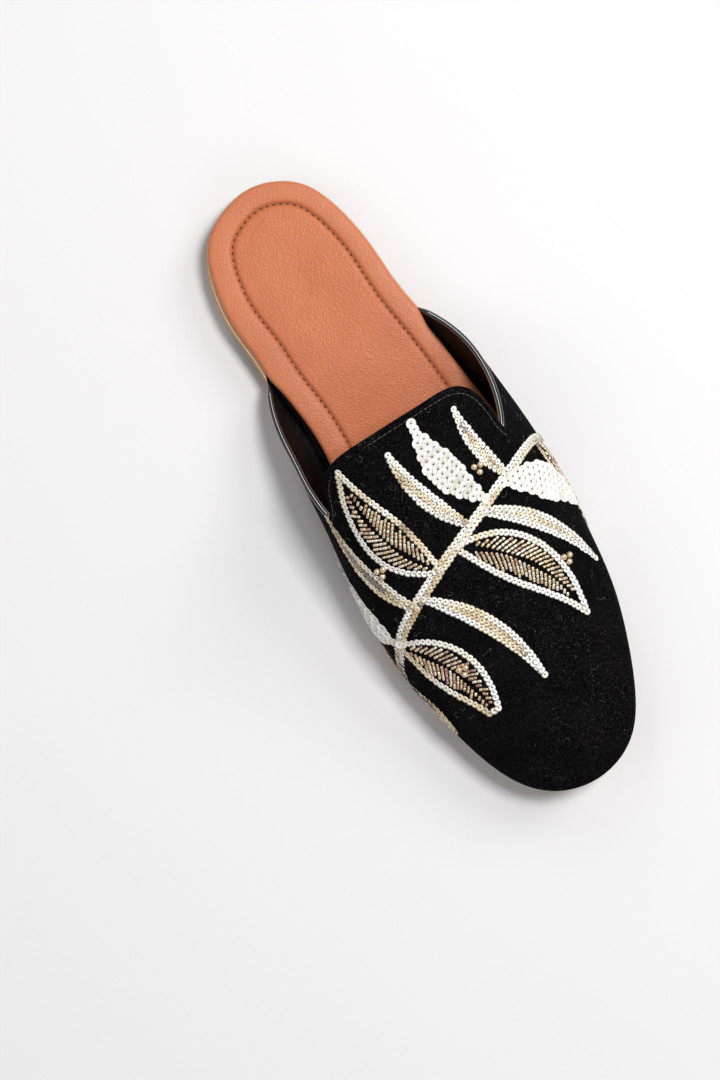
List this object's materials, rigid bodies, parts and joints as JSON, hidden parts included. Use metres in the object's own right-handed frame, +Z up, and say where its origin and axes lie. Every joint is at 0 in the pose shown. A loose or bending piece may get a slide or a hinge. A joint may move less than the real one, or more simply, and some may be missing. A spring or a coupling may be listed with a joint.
{
  "type": "mule",
  "caption": "Flat backless slip-on mule for the left foot, with a long vamp ending in a broad tongue tab, low quarters, a padded insole and a low heel.",
  "frame": {"origin": "on the floor under the middle of the shoe's bounding box", "axes": "+Y from toe to heel, +X to the lateral (outer) side, +Z up"},
  "size_m": [0.0902, 0.2582, 0.0661],
  "materials": {
    "velvet": "black cotton velvet, short pile",
    "insole_leather": "tan, fine grain, satin",
    "sole_leather": "natural light tan, smooth edge",
    "heel_leather": "stacked layers, satin"
  },
  "bodies": {
    "root": {"outsole": "sole_leather", "heel": "heel_leather", "insole": "insole_leather", "upper": "velvet"}
  },
  "joints": []
}
